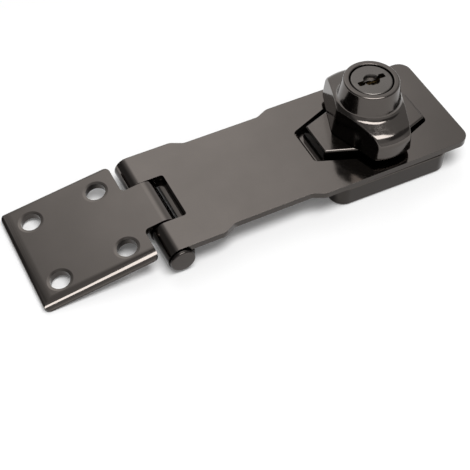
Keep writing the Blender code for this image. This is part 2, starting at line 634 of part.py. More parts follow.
def make_wafers(brass, steel):
    """Wafers with key windows and ears, each with the coil spring that pushes its ear."""
    half = WAFER_WIDTH / 2
    corner = math.asin(half / WAFER_RADIUS)
    ear_low = EAR_SHIFT - EAR_LENGTH / 2
    ear_high = EAR_SHIFT + EAR_LENGTH / 2
    ear_top = half + EAR_HEIGHT
    outline = arc((0, 0), WAFER_RADIUS, -corner, corner, CORNER_STEPS)
    outline += [(ear_high, half), (ear_high, ear_top), (ear_low, ear_top), (ear_low, half)]
    outline += arc((0, 0), WAFER_RADIUS, math.pi - corner, math.pi + corner, CORNER_STEPS)
    for i, height in enumerate(WAFER_HEIGHTS):
        low, high = height - WAFER_THICKNESS / 2, height + WAFER_THICKNESS / 2
        wafer = place(f"wafer_{i + 1}", prism(outline, low, high), brass)
        shift = WAFER_CODES[i % len(WAFER_CODES)] * WAFER_CODE_STEP
        reach, width = WAFER_WINDOW_LENGTH / 2, WAFER_WINDOW_WIDTH / 2
        cut(wafer, block((shift - reach, -width, low - CUT), (shift + reach, width, high + CUT)))
        start = Vector((ear_high + GAP, half + GAP + SPRING_RADIUS + SPRING_WIRE, height))
        coil(f"wafer_spring_{i + 1}", start, steel)


def coil(name, start, metal):
    """Coil spring that runs along X."""
    steps = SPRING_TURNS * SPRING_STEPS
    curve = bpy.data.curves.new(name, "CURVE")
    curve.dimensions = "3D"
    curve.bevel_depth = SPRING_WIRE
    curve.bevel_resolution = 0
    curve.use_fill_caps = True
    spline = curve.splines.new("POLY")
    spline.points.add(steps)
    length = SPRING_LENGTH - 2 * SPRING_WIRE
    for i, point in enumerate(spline.points):
        angle = 2 * math.pi * SPRING_TURNS * i / steps
        x = start.x + SPRING_WIRE + length * i / steps
        y = start.y + SPRING_RADIUS * math.cos(angle)
        z = start.z + SPRING_RADIUS * math.sin(angle)
        point.co = (x, y, z, 1)
    curve.materials.append(metal)
    spring = bpy.data.objects.new(name, curve)
    bpy.context.scene.collection.objects.link(spring)
    return spring


def make_plug_clip(steel):
    """Open ring in the groove of the plug's tail."""
    inner = TAIL_RADIUS - GROOVE_DEPTH + GAP
    outer = TAIL_RADIUS + CLIP_REACH
    return place("plug_clip", open_ring(inner, outer, CLIP_TOP - CLIP_THICKNESS, CLIP_TOP), steel)


def make_bolt(steel):
    """Flat bolt that slides in the spindle, with a cross slot for the crank pin."""
    nose, body = BOLT_NOSE_WIDTH / 2, BOLT_BODY_WIDTH / 2
    half = [(-BOLT_TAIL, -body, BOLT_CORNER), (BOLT_SHOULDER, -body, 0),
            (BOLT_SHOULDER, -nose, 0), (BOLT_NOSE, -nose, BOLT_CORNER)]
    outline = rounded(half + [(x, -y, r) for x, y, r in reversed(half)])
    bolt = place("locking_bolt", prism(outline, BOLT_BOTTOM, BOLT_TOP), steel)
    x, y = crank_at_rest()
    room = CRANK_PIN_RADIUS + GAP
    low, high = BOLT_BOTTOM - CUT, BOLT_TOP + CUT
    cut(bolt, block((x - room, -CRANK_RADIUS - room, low), (x + room, y + room, high)))
    return bolt


def make_spindle_cap(steel):
    """Disc pressed into the spindle under the bolt."""
    radius = CAVITY_RADIUS - GAP
    low = CAP_TOP - CAP_THICKNESS
    profile = [(0, low), (radius, low), (radius, CAP_TOP), (0, CAP_TOP)]
    return place("spindle_cap", turned(profile, INNER_STEPS), steel)


def make_retaining_ring(steel):
    """Open ring in the spindle's groove, which holds the knob to the base."""
    inner = SPINDLE_RADIUS - RING_GROOVE_DEPTH + GAP
    low = RING_CLIP_TOP - RING_CLIP_THICKNESS
    return place("retaining_ring", open_ring(inner, RING_CLIP_RADIUS, low, RING_CLIP_TOP), steel)


def make_wave_washer(steel):
    """Waved spring washer between the base and the retaining ring."""
    inner = SPINDLE_RADIUS + GAP
    high = WASHER_TOP - WASHER_WAVE
    low = high - WASHER_THICKNESS
    profile = [(inner, low), (WASHER_RADIUS, low), (WASHER_RADIUS, high), (inner, high)]
    bm = turned(profile, INNER_STEPS)
    for vert in bm.verts:
        vert.co.z += WASHER_WAVE * math.cos(WASHER_WAVES * math.atan2(vert.co.y, vert.co.x))
    return place("wave_washer", bm, steel)


def main():
    for old in list(bpy.data.objects):
        bpy.data.objects.remove(old, do_unlink=True)
    nickel = finish("black_nickel", (0.12, 0.115, 0.11), 0.12)
    satin = finish("satin_nickel", (0.33, 0.32, 0.31), 0.35)
    steel = finish("spring_steel", (0.42, 0.42, 0.43), 0.3)
    brass = finish("wafer_brass", (0.62, 0.45, 0.18), 0.3)
    make_base(nickel)
    make_hasp_plate(nickel)
    make_hinge_leaf(nickel)
    make_wafers(brass, steel)
    make_bolt(steel)
    for turned_piece in (make_hinge_pin(nickel), make_knob(nickel), make_plug(satin), make_plug_clip(steel),
                         make_spindle_cap(steel), make_retaining_ring(steel), make_wave_washer(steel)):
        smooth(turned_piece)
    for piece in bpy.data.objects:
        if piece.parent is None:
            piece.location += KNOB_PLACE


main()
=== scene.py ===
# %% [markdown]
# # A keyed hasp lock in polished black nickel
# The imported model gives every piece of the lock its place. This lesson models the pieces that
# show with rounded edges and real forms, gives each metal its own finish, and lights them as a
# small studio would. The pieces inside the lock stay as they are and only get a finish.

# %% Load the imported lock
import math

import bpy
from mathutils import Matrix, Vector


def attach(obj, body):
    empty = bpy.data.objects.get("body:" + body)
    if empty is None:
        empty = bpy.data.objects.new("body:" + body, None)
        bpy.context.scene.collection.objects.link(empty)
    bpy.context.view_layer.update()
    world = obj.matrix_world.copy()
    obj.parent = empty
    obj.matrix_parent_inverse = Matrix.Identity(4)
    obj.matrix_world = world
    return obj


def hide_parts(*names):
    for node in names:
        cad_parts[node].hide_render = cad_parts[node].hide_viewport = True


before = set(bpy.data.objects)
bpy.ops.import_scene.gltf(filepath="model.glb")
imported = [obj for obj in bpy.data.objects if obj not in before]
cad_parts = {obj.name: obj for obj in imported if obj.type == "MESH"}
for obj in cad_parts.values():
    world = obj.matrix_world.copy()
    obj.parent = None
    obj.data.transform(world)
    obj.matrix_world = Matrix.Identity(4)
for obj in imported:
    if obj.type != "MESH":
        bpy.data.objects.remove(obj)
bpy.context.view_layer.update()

MM = 0.001

# %% [markdown]
# ## Camera and image
# The camera was worked out from the corners of the plates in the picture. It looks down on the
# lock from its near left, from about 0.31 m away, through a long lens, so the near leaf is only
# a little larger than the far end.

# %% Place the camera
CAMERA_PLACE = Vector((-99.053, -181.518, 228.215)) * MM
CAMERA_TURN = (0.697356, -0.025439, -0.465372)
CAMERA_LENS = 88.727

bpy.ops.object.camera_add(location=CAMERA_PLACE, rotation=CAMERA_TURN)
camera = bpy.context.object
camera.name = "camera"
camera.data.lens = CAMERA_LENS
camera.data.sensor_width = 36
bpy.context.scene.camera = camera
bpy.context.scene.view_settings.view_transform = "Standard"
print("camera is", round(CAMERA_PLACE.length, 3), "m from the middle of the lock")

# %% [markdown]
# ## Tools for drawing a shape
# Most pieces start as a line. One vertex is extruded from point to point, as by hand, and the
# closed line is then filled and extruded into a plate, or spun round an axis into a turned
# piece. Rounded corners are worked out first, so that each has exactly its radius.

# %% Draw lines, plates and turned pieces
def select_only(piece):
    bpy.ops.object.select_all(action="DESELECT")
    piece.select_set(True)
    bpy.context.view_layer.objects.active = piece


def trace(name, points):
    """Closed line through points, drawn by extruding one vertex. Stays in edit mode."""
    bpy.ops.object.select_all(action="DESELECT")
    bpy.ops.mesh.primitive_plane_add(size=MM)
    line = bpy.context.object
    line.name = line.data.name = name
    bpy.ops.object.mode_set(mode="EDIT")
    bpy.ops.mesh.select_mode(type="VERT")
    bpy.ops.mesh.select_all(action="SELECT")
    bpy.ops.mesh.merge(type="CENTER")
    bpy.ops.transform.translate(value=points[0])
    for here, there in zip(points, points[1:] + points[:1]):
        step = Vector(there) - Vector(here)
        bpy.ops.mesh.extrude_vertices_move(TRANSFORM_OT_translate={"value": step})
    bpy.ops.mesh.select_all(action="SELECT")
    bpy.ops.mesh.remove_doubles(threshold=0.001 * MM)
    return line


def leave_edit_mode():
    bpy.ops.mesh.select_all(action="SELECT")
    bpy.ops.mesh.normals_make_consistent(inside=False)
    bpy.ops.object.mode_set(mode="OBJECT")


def slab(name, outline, low, high):
    """Plate with an outline (x, y), filled and extruded upwards."""
    piece = trace(name, [(x, y, low) for x, y in outline])
    bpy.ops.mesh.edge_face_add()
    bpy.ops.mesh.extrude_region_move(TRANSFORM_OT_translate={"value": (0, 0, high - low)})
    leave_edit_mode()
    return piece


def strip(name, profile, half_width):
    """Sheet of a profile (x, z), extruded along Y."""
    piece = trace(name, [(x, -half_width, z) for x, z in profile])
    bpy.ops.mesh.edge_face_add()
    bpy.ops.mesh.extrude_region_move(TRANSFORM_OT_translate={"value": (0, 2 * half_width, 0)})
    leave_edit_mode()
    return piece


def bar(name, profile, low, high):
    """Solid of a profile (y, z), extruded along X."""
    piece = trace(name, [(low, y, z) for y, z in profile])
    bpy.ops.mesh.edge_face_add()
    bpy.ops.mesh.extrude_region_move(TRANSFORM_OT_translate={"value": (high - low, 0, 0)})
    leave_edit_mode()
    return piece


def turned(name, profile, steps, centre=(0, 0), axis=(0, 0, 1)):
    """Solid of a profile (radius, height) spun round an upright axis, or one along Y."""
    x, y = centre
    if axis[2]:
        points = [(x + radius, y, height) for radius, height in profile]
    else:
        points = [(x + radius, height, y) for radius, height in profile]
    piece = trace(name, points)
    middle = (x, y, 0) if axis[2] else (x, 0, y)
    bpy.ops.mesh.spin(steps=steps, angle=2 * math.pi, center=middle, axis=axis)
    bpy.ops.mesh.select_all(action="SELECT")
    bpy.ops.mesh.remove_doubles(threshold=0.001 * MM)
    bpy.ops.mesh.dissolve_degenerate(threshold=0.0001 * MM)
    leave_edit_mode()
    return piece


def box(name, low, high):
    """Cube stretched between two corners."""
    low, high = Vector(low), Vector(high)
    bpy.ops.object.select_all(action="DESELECT")
    bpy.ops.mesh.primitive_cube_add(size=1, location=(low + high) / 2, scale=high - low)
    piece = bpy.context.object
    piece.name = piece.data.name = name
    bpy.ops.object.transform_apply(location=True, rotation=True, scale=True)
    return piece


def rounded(corners, steps=8):
    """Outline through corners (x, y, radius), each corner with a radius turned by an arc."""
    outline = []
    for i, (x, y, radius) in enumerate(corners):
        here = Vector((x, y))
        before = Vector(corners[i - 1][:2]) - here
        after = Vector(corners[(i + 1) % len(corners)][:2]) - here
        opening = before.angle(after)
        if radius <= 0 or math.pi - opening < 0.001:
            outline.append(here)
            continue
        reach = min(radius / math.tan(opening / 2), 0.49 * before.length, 0.49 * after.length)
        radius = reach * math.tan(opening / 2)
        middle = (before.normalized() + after.normalized()).normalized()
        centre = here + middle * (radius / math.sin(opening / 2))
        start = here + before.normalized() * reach - centre
        sweep = start.angle_signed(here + after.normalized() * reach - centre)
        for step in range(steps + 1):
            outline.append(centre + Matrix.Rotation(-sweep * step / steps, 2) @ start)
    return [tuple(point) for point in outline]


def both_sides(half):
    """Outline corners on one side of the lock, mirrored to the other."""
    return half + [(x, -y, radius) for x, y, radius in reversed(half)]


def arc(centre, radius, start, end, steps):
    """Points on an arc."""
    return [(centre[0] + radius * math.cos(start + (end - start) * i / steps),
             centre[1] + radius * math.sin(start + (end - start) * i / steps)) for i in range(steps + 1)]


print("drawing tools are ready")

# %% [markdown]
# ## Tools for cutting and finishing
# A shape is cut with Boolean modifiers, which are applied at once. Real plated edges are never
# sharp: they are tumbled and polished before plating. A Bevel modifier rounds every edge
# sharper than a limit, and weighted normals keep the flat faces flat, because a mirror-like
# metal shows the smallest false curve.

# %% Cut, round and place a piece
KNOB_PLACE = Vector((37.5, 0, 0)) * MM


def apply_modifier(piece, kind, **settings):
    select_only(piece)
    bpy.ops.object.modifier_add(type=kind)
    modifier = piece.modifiers[-1]
    for name, value in settings.items():
        setattr(modifier, name, value)
    bpy.ops.object.modifier_apply(modifier=modifier.name)


def combine(piece, tool, operation):
    apply_modifier(piece, "BOOLEAN", operation=operation, solver="EXACT", object=tool)
    bpy.data.objects.remove(tool)


def cut(piece, tool):
    combine(piece, tool, "DIFFERENCE")


def keep_inside(piece, tool):
    combine(piece, tool, "INTERSECT")


def join(piece, tool):
    combine(piece, tool, "UNION")


def clean(piece):
    """Merge what a cut leaves doubled or without length."""
    select_only(piece)
    bpy.ops.object.mode_set(mode="EDIT")
    bpy.ops.mesh.select_all(action="SELECT")
    bpy.ops.mesh.remove_doubles(threshold=0.002 * MM)
    bpy.ops.mesh.dissolve_degenerate(threshold=0.001 * MM)
    bpy.ops.object.mode_set(mode="OBJECT")


def round_edges(piece, width, segments=3, sharper_than=math.radians(35)):
    clean(piece)
    apply_modifier(piece, "BEVEL", width=width, segments=segments, limit_method="ANGLE",
                   angle_limit=sharper_than, use_clamp_overlap=True)


def polish(piece, sharper_than=math.radians(40)):
    """Smooth shading that keeps flat faces flat."""
    select_only(piece)
    bpy.ops.object.shade_smooth_by_angle(angle=sharper_than)
    apply_modifier(piece, "WEIGHTED_NORMAL", mode="FACE_AREA", weight=50, keep_sharp=True)


def move_to(piece, place, tilt=0.0):
    """Turn a finished piece about Y, move it, and put its place into its mesh."""
    select_only(piece)
    piece.rotation_euler = (0, tilt, 0)
    piece.location = place
    bpy.ops.object.transform_apply(location=True, rotation=True, scale=True)


def dress(piece, body, slot, *nodes):
    """Move a piece to the knob's place. It then stands for CAD nodes and rides on their body."""
    move_to(piece, KNOB_PLACE)
    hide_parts(*nodes)
    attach(piece, body)
    print(f"{piece.name}: {len(piece.data.polygons)} faces")


# %% [markdown]
# ## The hinge
# The hasp plate and the leaf are steel sheets rolled round one pin. The roll is drawn as the
# middle line of the sheet, which is then given its thickness on both sides. The plate's sheet
# runs on under the slot as a short flap.

# %% Roll a sheet
HINGE = Vector((-62.4, 0, 3.92)) * MM
PIN_RADIUS = 1.5 * MM
SHEET = 1.8 * MM
LEAF_SHEET = 1.9 * MM
GAP = 0.3 * MM
PLATE_TILT = math.radians(1.0587)
LEAF_TILT = math.radians(9.5139)
PLATE_ROLL = PIN_RADIUS + GAP + SHEET
LEAF_ROLL = PIN_RADIUS + 0.5 * MM + LEAF_SHEET


def thickened(middle, thickness):
    """Closed profile of a sheet, from the points of its middle line."""
    left, right = [], []
    for i, point in enumerate(middle):
        before = Vector(middle[max(i - 1, 0)])
        after = Vector(middle[min(i + 1, len(middle) - 1)])
        along = (after - before).normalized()
        side = Vector((-along.y, along.x)) * thickness / 2
        left.append(tuple(Vector(point) + side))
        right.append(tuple(Vector(point) - side))
    return left + right[::-1]


def bent_corner(edge, height, width, depth):
    """Corner that falls off like a quarter of an ellipse, from the edge inwards."""
    turns = [math.radians(90 * i / 24) for i in range(25)]
    return [(edge + width * (1 - math.cos(a)), height - depth * (1 - math.sin(a))) for a in turns]


print("rolls have radii of", PLATE_ROLL, "and", LEAF_ROLL)

# %% [markdown]
# ## The hasp plate
# The plate is wide at the lock, a little narrower along its waist and wide again at the
# knuckles, with soft steps between. Its window drops over the boss of the base. The real one is
# blanked flat and then rolled. Here the roll comes first, because the outline, the window and
# the slot are easier to cut from the finished roll than to bend with it.

# %% Model the hasp plate
PLATE_END = 23.05 * MM
SLOT_REACH = 6.05 * MM
TONGUE_HALF = 7.1 * MM
TONGUE_ROOM = 0.4 * MM
KNOB_AT = -HINGE.x / math.cos(PLATE_TILT)
FLAP_RISE = math.radians(70)
FLAP_BEND = 1.0 * MM
FLAP_LENGTH = 3.2 * MM
BOSS_FLARE = 0.6 * MM
BOSS_X, BOSS_END, BOSS_MIDDLE = 15.35 * MM, 5.05 * MM, 10.55 * MM
ALL_HEIGHTS = 8 * MM


def hexagon(x, end, middle):
    return [(x, -end), (x, end), (0, middle), (-x, end), (-x, -end), (0, -middle)]


def boss_sides(grow):
    """Corners of the boss's six sides, moved outwards."""
    slope = math.atan2(BOSS_MIDDLE - BOSS_END, BOSS_X)
    x = BOSS_X + grow
    middle = BOSS_MIDDLE + grow / math.cos(slope)
    return hexagon(x, middle - x * math.tan(slope), middle)


roll = PLATE_ROLL - SHEET / 2
plate_end = KNOB_AT + PLATE_END
flap_height = roll - SHEET - GAP
turn_end = FLAP_RISE - math.pi / 2
bend_rise = FLAP_BEND * (1 - math.cos(FLAP_RISE))
climb = flap_height - roll * math.sin(turn_end) - bend_rise
bend_centre = (roll * math.cos(turn_end) + climb / math.tan(FLAP_RISE) + FLAP_BEND * math.sin(FLAP_RISE),
               flap_height - FLAP_BEND)
plate_line = [(plate_end, roll)] + arc((0, 0), roll, math.pi / 2, 2 * math.pi + turn_end, 64)
plate_line += arc(bend_centre, FLAP_BEND, math.pi / 2 + FLAP_RISE, math.pi / 2, 12)
plate_line.append((bend_centre[0] + FLAP_LENGTH, flap_height))
plate = strip("hasp_plate_sheet", thickened(plate_line, SHEET), 20 * MM)

lock_step = KNOB_AT - 21.2 * MM
plate_side = [(plate_end, 17 * MM, 3.5 * MM), (lock_step, 17 * MM, 3 * MM),
              (lock_step - 3.4 * MM, 15.4 * MM, 3 * MM), (15.8 * MM, 15.4 * MM, 3 * MM),
              (12.4 * MM, 17.1 * MM, 3 * MM), (-ALL_HEIGHTS, 17.1 * MM, 0)]
keep_inside(plate, slab("plate_outline", rounded(both_sides(plate_side)), -ALL_HEIGHTS, ALL_HEIGHTS))
window = [(KNOB_AT - 1.3 * MM + x, y, 1.5 * MM) for x, y in hexagon(17.35 * MM, 5.85 * MM, 12.55 * MM)]
cut(plate, slab("window", rounded(window), flap_height, ALL_HEIGHTS))
slot_half = TONGUE_HALF + TONGUE_ROOM
slot_room = LEAF_ROLL + TONGUE_ROOM
cut(plate, box("slot", (-ALL_HEIGHTS, -slot_half, -ALL_HEIGHTS), (slot_room, slot_half, ALL_HEIGHTS)))
flap_top = flap_height + SHEET / 2 + GAP / 2
slot_end = rounded([(0, -slot_half, 0), (SLOT_REACH, -slot_half, 0.8 * MM), (SLOT_REACH, slot_half, 0.8 * MM),
                    (0, slot_half, 0)])
cut(plate, slab("slot_end", slot_end, flap_top, ALL_HEIGHTS))
cut(plate, box("flap_end", (PLATE_ROLL + 0.05 * MM, -ALL_HEIGHTS * 3, -ALL_HEIGHTS),
               (2 * ALL_HEIGHTS, -14 * MM, flap_height + SHEET / 2 + 0.02 * MM)))
round_edges(plate, 0.3 * MM)
polish(plate)
move_to(plate, HINGE, -PLATE_TILT)
dress(plate, "root", "black_nickel", "hasp_plate")

# %% [markdown]
# ## The leaf
# The leaf is a thicker sheet. Its near edge is rolled over far more than its far one, so the
# sides are shaped before the holes are cut. Its tongue goes round the pin between the plate's
# knuckles. Each of its four holes lies in a shallow dish.

# %% Model the leaf
LEAF_END = 35.65 * MM
LEAF_START = 5.1 * MM
LEAF_SHIFT = 0.6 * MM
LEAF_HALF_WIDTH = 16.5 * MM
TONGUE_FILLET = 1.2 * MM
NEAR_ROLL = (3.2 * MM, 1.75 * MM)    # how far an edge rolls over: across the sheet, down
FAR_ROLL = (-1.5 * MM, 0.5 * MM)
END_ROLL = (3 * MM, 0.8 * MM)
LEAF_HOLE = 2.6 * MM
LEAF_DISH = 3.3 * MM
LEAF_HOLE_SIDE = 10.3 * MM

leaf_roll = LEAF_ROLL - LEAF_SHEET / 2
leaf_line = [(-LEAF_END, leaf_roll)]
leaf_line += arc((0, 0), leaf_roll, math.pi / 2, math.pi / 2 - math.radians(285), 64)
leaf = strip("hinge_leaf_sheet", thickened(leaf_line, LEAF_SHEET), 20 * MM)
leaf_near, leaf_far = LEAF_SHIFT - LEAF_HALF_WIDTH, LEAF_SHIFT + LEAF_HALF_WIDTH
leaf_side = [(-LEAF_END, leaf_far, 1.6 * MM), (-LEAF_START, leaf_far, 2 * MM),
             (-LEAF_START, TONGUE_HALF, TONGUE_FILLET), (ALL_HEIGHTS, TONGUE_HALF, 0),
             (ALL_HEIGHTS, -TONGUE_HALF, 0), (-LEAF_START, -TONGUE_HALF, TONGUE_FILLET),
             (-LEAF_START, leaf_near, 1.4 * MM), (-LEAF_END, leaf_near, 1.4 * MM)]
keep_inside(leaf, slab("leaf_outline", rounded(leaf_side), -ALL_HEIGHTS, ALL_HEIGHTS))
near_roll = bent_corner(leaf_near, LEAF_ROLL, *NEAR_ROLL)
far_roll = bent_corner(leaf_far, LEAF_ROLL, *FAR_ROLL)
across = [(leaf_near, -ALL_HEIGHTS)] + near_roll + far_roll[::-1] + [(leaf_far, -ALL_HEIGHTS)]
keep_inside(leaf, bar("rolled_sides", across, -LEAF_END - MM, ALL_HEIGHTS))
end_roll = bent_corner(-LEAF_END, LEAF_ROLL, *END_ROLL)
along = [(-LEAF_END, -ALL_HEIGHTS)] + end_roll + [(ALL_HEIGHTS, LEAF_ROLL), (ALL_HEIGHTS, -ALL_HEIGHTS)]
keep_inside(leaf, strip("rolled_end", along, 20 * MM))
round_edges(leaf, 0.2 * MM, 3)
under, rim = LEAF_ROLL - LEAF_SHEET - MM, LEAF_DISH + 0.3 * MM
sink = [(0, under), (LEAF_HOLE, under), (LEAF_HOLE, LEAF_ROLL - 0.14 * MM),
        (LEAF_DISH, LEAF_ROLL - 0.01 * MM), (rim, LEAF_ROLL + 0.02 * MM), (rim, LEAF_ROLL + MM),
        (0, LEAF_ROLL + MM)]
for x in (-LEAF_START - 5.9 * MM, -LEAF_END + 6.5 * MM):
    for y in (LEAF_SHIFT - LEAF_HOLE_SIDE, LEAF_SHIFT + LEAF_HOLE_SIDE):
        cut(leaf, turned("sink", sink, 64, (x, y)))
clean(leaf)
polish(leaf)
move_to(leaf, HINGE, -LEAF_TILT)
dress(leaf, "leaf", "black_nickel", "hinge_leaf")

# %% [markdown]
# ## The hinge pin
# A plain rod with a turned flat head at the near side. The far end is peened over, which gives
# it a low dome.

# %% Model the hinge pin
PIN_SEAT = 17.4 * MM
HEAD_RADIUS = 3.3 * MM
PEEN_RADIUS = 2.5 * MM
pin_profile = [(0, PIN_SEAT + 0.8 * MM)]
pin_profile += [(x, PIN_SEAT + y * 0.32) for x, y in arc((0, 0), PEEN_RADIUS, math.radians(80), 0, 10)]
pin_profile += [(PIN_RADIUS, PIN_SEAT), (PIN_RADIUS, -PIN_SEAT)]
pin_profile += rounded([(0, -PIN_SEAT - MM, 0), (0, -PIN_SEAT, 0), (HEAD_RADIUS, -PIN_SEAT, 0.2 * MM),
                        (HEAD_RADIUS, -PIN_SEAT - MM, 0.4 * MM)])[2:]
pin_profile += [(0, -PIN_SEAT - MM)]
pin = turned("hinge_pin_rod", pin_profile, 64, (HINGE.x, HINGE.z), axis=(0, 1, 0))
polish(pin)
dress(pin, "root", "black_nickel", "hinge_pin")

# %% [markdown]
# ## The base
# The base is a casting: a pan with a hole in each of its solid corners and a six-sided boss with
# sloping sides, which fills the plate's window. The boss is joined on before the hollow, the
# bore, the two pockets for the bolt and the track for the knob's stop are cut.

# %% Model the base
BASE_HEIGHT = 6.25 * MM
BASE_X, BASE_Y, BASE_CORNER = 17.5 * MM, 16.7 * MM, 4 * MM
BOSS_TOP = 10.05 * MM
ABOVE_BOSS = 11 * MM
HOLLOW_X, HOLLOW_Y, HOLLOW_TOP = 15.5 * MM, 14.7 * MM, 4.25 * MM
PAD_X, PAD_Y, PAD_CORNER = 8.5 * MM, 7.7 * MM, 2.5 * MM
HOLE_X, HOLE_Y, HOLE_RADIUS = 12.8 * MM, 12 * MM, 2.2 * MM
SINK_RADIUS, SINK_DEPTH = 4.1 * MM, 1.9 * MM
SPINDLE_BORE = 7.3 * MM
BOLT_LOW, BOLT_HIGH, BOLT_HALF = 6.5 * MM, 9.1 * MM, 2 * MM
POCKET_START, POCKET_END = 3.5 * MM, 9.22 * MM
TRACK_SPARE = math.radians(6.9)    # room for the stop past each end of its quarter turn

corners = [(BASE_X, -BASE_Y), (BASE_X, BASE_Y), (-BASE_X, BASE_Y), (-BASE_X, -BASE_Y)]
base = slab("cast_base", rounded([(x, y, BASE_CORNER) for x, y in corners]), 0, BASE_HEIGHT)
round_edges(base, 0.6 * MM, 4)
foot = boss_sides(BOSS_FLARE)
boss = slab("boss", rounded([(x, y, 0.5 * MM) for x, y in foot], 4), BASE_HEIGHT - MM, BASE_HEIGHT)
select_only(boss)
bpy.ops.object.mode_set(mode="EDIT")
bpy.ops.mesh.select_mode(type="FACE")
bpy.ops.mesh.select_all(action="DESELECT")
bpy.ops.object.mode_set(mode="OBJECT")
for face in boss.data.polygons:
    face.select = face.center.z > BASE_HEIGHT - 0.01 * MM
bpy.ops.object.mode_set(mode="EDIT")
bpy.ops.mesh.extrude_region_move(TRANSFORM_OT_translate={"value": (0, 0, BOSS_TOP - BASE_HEIGHT)})
narrower = (BOSS_X / foot[0][0], BOSS_MIDDLE / foot[2][1], 1)
bpy.ops.transform.resize(value=narrower, center_override=(0, 0, 0))
bpy.ops.object.mode_set(mode="OBJECT")
round_edges(boss, 0.45 * MM, 4, math.radians(50))
join(base, boss)

quarter = [(x, y, PAD_CORNER) for x, y in ((HOLLOW_X, PAD_Y), (PAD_X, PAD_Y), (PAD_X, HOLLOW_Y))]
hollow = quarter + [(-x, y, r) for x, y, r in reversed(quarter)]
hollow += [(-x, -y, r) for x, y, r in quarter] + [(x, -y, r) for x, y, r in reversed(quarter)]
cut(base, slab("hollow", rounded(hollow), -MM, HOLLOW_TOP))
sink = [(0, -MM), (HOLE_RADIUS, -MM), (HOLE_RADIUS, BASE_HEIGHT - SINK_DEPTH),
        (SINK_RADIUS, BASE_HEIGHT), (SINK_RADIUS, BASE_HEIGHT + MM), (0, BASE_HEIGHT + MM)]
for x in (-HOLE_X, HOLE_X):
    for y in (-HOLE_Y, HOLE_Y):
        cut(base, turned("sink", sink, 48, (x, y)))
bore = [(0, -MM), (SPINDLE_BORE, -MM), (SPINDLE_BORE, ABOVE_BOSS), (0, ABOVE_BOSS)]
cut(base, turned("bore", bore, 96))
cut(base, box("bolt_pocket", (POCKET_START, -BOLT_HALF, BOLT_LOW), (POCKET_END, BOLT_HALF, BOLT_HIGH)))
cut(base, box("bolt_pocket", (-BOLT_HALF, POCKET_START, BOLT_LOW), (BOLT_HALF, POCKET_END, BOLT_HIGH)))
track_start, track_end = math.pi - TRACK_SPARE, 1.5 * math.pi + TRACK_SPARE
track = arc((0, 0), 9 * MM, track_start, track_end, 24) + arc((0, 0), 7 * MM, track_end, track_start, 24)
cut(base, slab("stop_track", track, 8.75 * MM, ABOVE_BOSS))
clean(base)
polish(base)
dress(base, "root", "black_nickel", "base")

# %% [markdown]
# ## The knob
# The knob is turned with a cone and a flat ring for the lock plug, then four flanks leave two
# wings. Its profile is drawn with many points and spun, and every point that lies outside a
# flank is pushed back onto it. Close to an edge a point is pushed a little further, which
# rounds the edge. Inside, channels leave room for the wafers, a window lets the bolt out of the
# spindle, and below the wing a small stop runs in the base's track.

# %% Model the knob
KNOB_BOTTOM = 10.35 * MM
KNOB_RADIUS = 15.2 * MM
RING_TOP = 25.2 * MM
KNOB_FOOT = 18.55 * MM
PLUG_BORE = 5.9 * MM
KNOB_STEPS = 432
FLANK_SLOPE = math.atan2(5.5, 15.35)
FLANK_DISTANCE = 10.45 * MM * math.cos(FLANK_SLOPE)
FLANK_DRAFT = math.tan(math.radians(5.5))
EDGE_ROUND = 0.6 * MM
KNOB_GRAIN = 0.25 * MM
CONE_FOOT = 8.5 * MM
SPINDLE = 7 * MM
WEB_TOP, WEB_LOW = 12 * MM, 10.9 * MM
TAIL_ROOM, BOLT_ROOM, CAVITY = 2.9 * MM, 4.8 * MM, 5.4 * MM
CAP_SEAT, SPINDLE_END = 6.8 * MM, 1.2 * MM
GROOVE, GROOVE_LOW, GROOVE_TOP = 6.2 * MM, 1.9 * MM, 3.3 * MM
WAFER_HALF, WAFER_REACH = 2.7 * MM, 6.55 * MM
WAFERS_LOW, WAFERS_TOP = 12.85 * MM, 23.65 * MM


def fine(points, grain):
    """The same line with points no further apart than a grain."""
    line = [points[0]]
    for here, there in zip(points, points[1:]):
        a, b = Vector(here), Vector(there)
        count = max(1, math.ceil((b - a).length / grain))
        line += [tuple(a.lerp(b, (i + 1) / count)) for i in range(count)]
    return line


def blunt_min(a, b, blend):
    """The smaller of two radii, a little less where they are nearly alike."""
    near = max(blend - abs(a - b), 0) / blend
    return min(a, b) - near * near * blend / 4


def flank_radius(angle, height):
    """Distance from the knob's axis to its flanks in a direction."""
    distance = FLANK_DISTANCE - (height - KNOB_BOTTOM) * FLANK_DRAFT
    radii = []
    for side in (0, math.pi):
        for slope in (-FLANK_SLOPE, FLANK_SLOPE):
            facing = math.cos(angle - side - slope)
            if facing > 0.05:
                radii.append(distance / facing)
    radii = sorted(radii)[:2]
    return blunt_min(radii[0], radii[1], EDGE_ROUND) if len(radii) == 2 else min(radii + [1])


corner_height = KNOB_FOOT - (KNOB_RADIUS - CONE_FOOT) * math.tan(math.radians(16))
outer = rounded([(SPINDLE, KNOB_BOTTOM, 0), (KNOB_RADIUS, KNOB_BOTTOM, 0.5 * MM),
                 (KNOB_RADIUS, corner_height, 3.4 * MM), (CONE_FOOT, KNOB_FOOT, 1.8 * MM),
                 (7.37 * MM, RING_TOP, 0.5 * MM), (PLUG_BORE, RING_TOP, 0.2 * MM),
                 (PLUG_BORE, WEB_TOP, 0)], 12)
outer = outer[:1] + fine(outer[1:-1], KNOB_GRAIN) + outer[-1:]
inner = [(TAIL_ROOM, WEB_TOP), (TAIL_ROOM, WEB_LOW), (BOLT_ROOM, WEB_LOW), (BOLT_ROOM, CAP_SEAT),
         (CAVITY, CAP_SEAT), (CAVITY, SPINDLE_END), (SPINDLE - 0.2 * MM, SPINDLE_END),
         (SPINDLE, SPINDLE_END + 0.2 * MM), (SPINDLE, GROOVE_LOW), (GROOVE, GROOVE_LOW),
         (GROOVE, GROOVE_TOP), (SPINDLE, GROOVE_TOP)]
